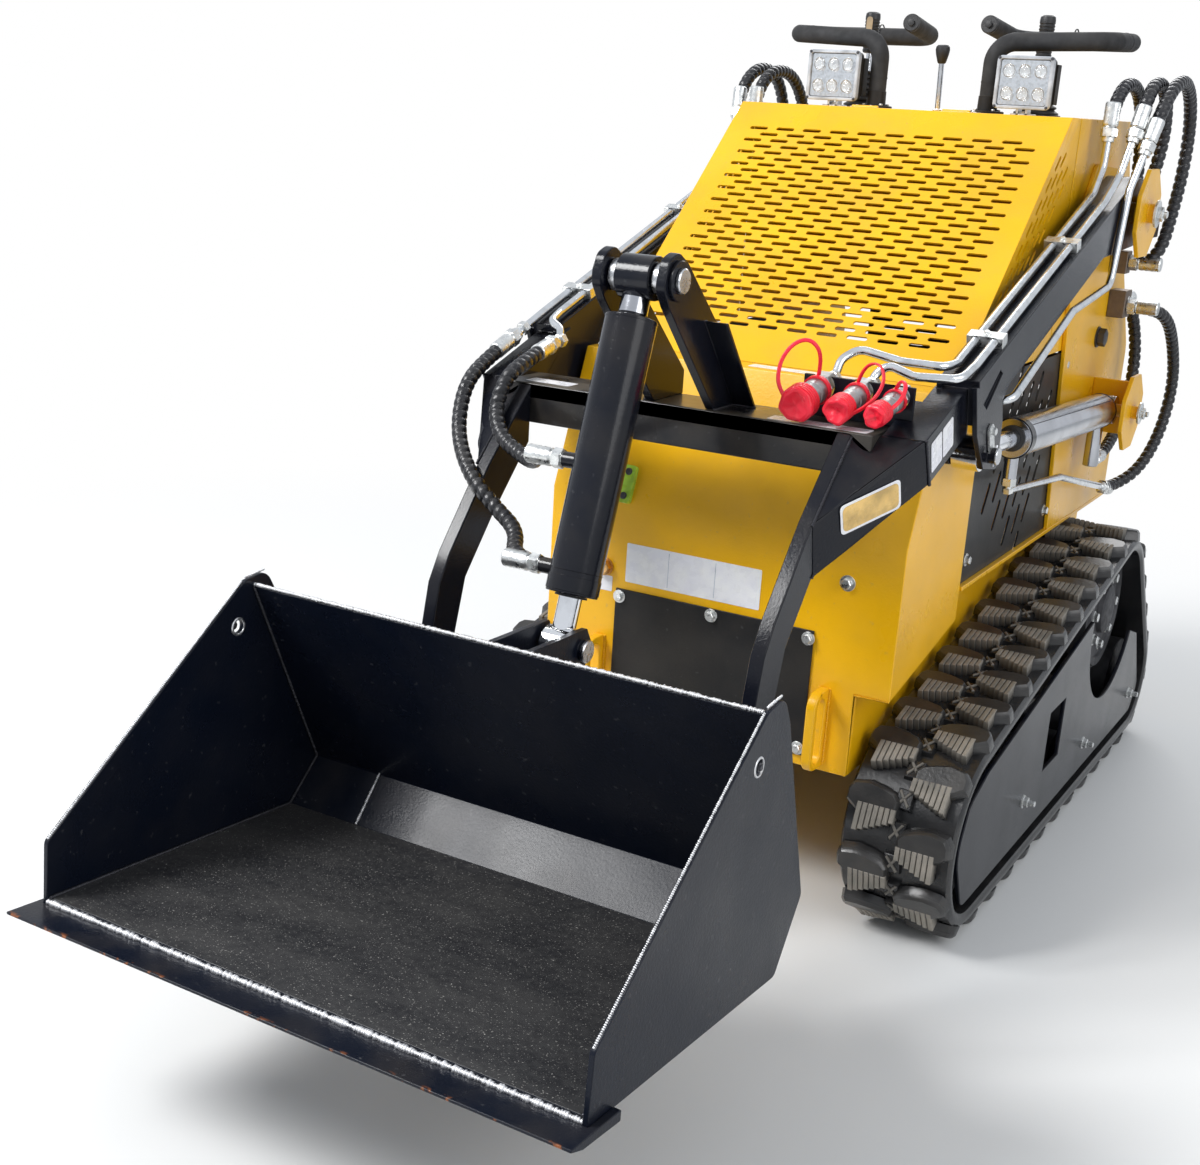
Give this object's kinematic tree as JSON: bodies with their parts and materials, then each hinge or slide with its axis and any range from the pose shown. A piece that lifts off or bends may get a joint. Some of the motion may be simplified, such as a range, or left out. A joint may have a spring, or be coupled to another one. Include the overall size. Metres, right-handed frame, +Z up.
{
  "type": "mini track loader",
  "caption": "Mini track loader with rubber tracks, a lift arm with tilt and lift cylinders, an open bucket, a slotted hood and a rear operator step.",
  "frame": {"origin": "centre of the footprint on the ground, bottom of the tracks", "axes": "+Z up, the bucket and front face -Y, +X is the left side of the machine"},
  "size_m": [0.888, 2.608, 1.4383],
  "materials": {
    "black_foam": "matte",
    "black_paint": "gloss",
    "black_plastic": "satin",
    "cast_iron": "matte",
    "chrome": "polished",
    "hose_rubber": "satin",
    "lamp": "satin",
    "red_rubber": "satin",
    "track_rubber": "satin",
    "yellow_paint": "gloss",
    "zinc": "satin"
  },
  "bodies": {
    "lift_arm": {"arm_elbow_left": "black_paint", "arm_elbow_right": "black_paint", "arm_lines": "chrome", "coupler_caps": "red_rubber", "coupler_plate": "black_paint", "cross_member": "black_paint", "front_leg_left": "black_paint", "front_leg_right": "black_paint", "lift_arm_left": "black_paint", "lift_arm_right": "black_paint", "line_clamps": "zinc", "quick_couplers": "zinc", "tilt_ears": "black_paint", "tilt_hoses": "hose_rubber"},
    "bucket": {"bucket_hinges": "black_paint", "bucket_shell": "black_paint", "bucket_sides": "black_paint", "cutting_edge": "black_paint"},
    "tilt_barrel": {"tilt_cylinder_barrel": "black_paint"},
    "tilt_rod": {"tilt_cylinder_rod": "chrome"},
    "lift_barrel_left": {"cylinder_line_left": "chrome", "lift_cylinder_barrel_left": "chrome"},
    "lift_barrel_right": {"cylinder_line_right": "chrome", "lift_cylinder_barrel_right": "chrome"},
    "lift_rod_left": {"lift_cylinder_rod_left": "chrome"},
    "lift_rod_right": {"lift_cylinder_rod_right": "chrome"},
    "hood": {"hood": "yellow_paint"},
    "chassis": {"access_plate": "black_paint", "bottom_rollers": "cast_iron", "control_panel": "black_plastic", "cylinder_hoses_left": "hose_rubber", "cylinder_hoses_right": "hose_rubber", "drive_levers": "black_plastic", "drive_sprockets": "cast_iron", "engine_block": "cast_iron", "engine_mounts": "cast_iron", "engine_side_covers": "black_paint", "front_box": "yellow_paint", "grab_handles": "black_foam", "hose_ports": "zinc", "idlers": "cast_iron", "lever_boots": "black_plastic", "lift_brackets": "yellow_paint", "lift_lever": "black_plastic", "loop_hoses": "hose_rubber", "main_frame": "yellow_paint", "operator_platform": "black_paint", "pivot_brackets": "yellow_paint", "rear_cowl": "yellow_paint", "rear_grille": "black_paint", "rubber_track_left": "track_rubber", "rubber_track_right": "track_rubber", "thigh_pad": "black_foam", "tow_loops": "yellow_paint", "track_frame_left": "black_paint", "track_frame_right": "black_paint", "track_side_plate_left": "black_paint", "track_side_plate_right": "black_paint", "uprights": "yellow_paint", "work_lights": "lamp"}
  },
  "joints": [
    {"name": "arm_lift", "type": "hinge", "parent": "chassis", "child": "lift_arm", "pos_m": [0, 0.59, 1.11], "axis": [-1, 0, 0], "range_deg": [-9.3, 62], "deforming": ["loop_hoses"]},
    {"name": "bucket_tilt", "type": "hinge", "parent": "lift_arm", "child": "bucket", "pos_m": [0, -0.655, 0.318], "axis": [1, 0, 0], "range_deg": [-10, 75]},
    {"name": "tilt_barrel_swing", "type": "hinge", "parent": "lift_arm", "child": "tilt_barrel", "pos_m": [0, -0.537, 1.029], "axis": [-1, 0, 0], "range_deg": [-1.17, 8.46], "deforming": ["tilt_hoses"]},
    {"name": "tilt_rod_slide", "type": "slide", "parent": "tilt_barrel", "child": "tilt_rod", "axis": [0, -0.318, -0.9481], "range_m": [-0.03632, 0.27108]},
    {"name": "hood_hinge", "type": "hinge", "parent": "chassis", "child": "hood", "pos_m": [0, 0.42, 1.264], "axis": [-1, 0, 0], "range_deg": [0, 55]},
    {"name": "lift_barrel_swing_left", "type": "hinge", "parent": "chassis", "child": "lift_barrel_left", "pos_m": [0, 0.715, 0.737], "axis": [-1, 0, 0], "range_deg": [-6.88, 45.55], "deforming": ["cylinder_hoses_left"]},
    {"name": "lift_rod_slide_left", "type": "slide", "parent": "lift_barrel_left", "child": "lift_rod_left", "axis": [0, -0.9987, 0.0513], "range_m": [-0.04422, 0.29364]},
    {"name": "lift_barrel_swing_right", "type": "hinge", "parent": "chassis", "child": "lift_barrel_right", "pos_m": [0, 0.715, 0.737], "axis": [-1, 0, 0], "range_deg": [-6.88, 45.55], "deforming": ["cylinder_hoses_right"]},
    {"name": "lift_rod_slide_right", "type": "slide", "parent": "lift_barrel_right", "child": "lift_rod_right", "axis": [0, -0.9987, 0.0513], "range_m": [-0.04422, 0.29364]}
  ],
  "couplings": [
    {"joint": "tilt_barrel_swing", "follows": "bucket_tilt", "ratio": 0.11214},
    {"joint": "tilt_rod_slide", "follows": "bucket_tilt", "m_per_rad": 0.20694},
    {"joint": "lift_barrel_swing_left", "follows": "arm_lift", "ratio": 0.7339},
    {"joint": "lift_rod_slide_left", "follows": "arm_lift", "m_per_rad": 0.27118},
    {"joint": "lift_barrel_swing_right", "follows": "arm_lift", "ratio": 0.7339},
    {"joint": "lift_rod_slide_right", "follows": "arm_lift", "m_per_rad": 0.27118}
  ]
}
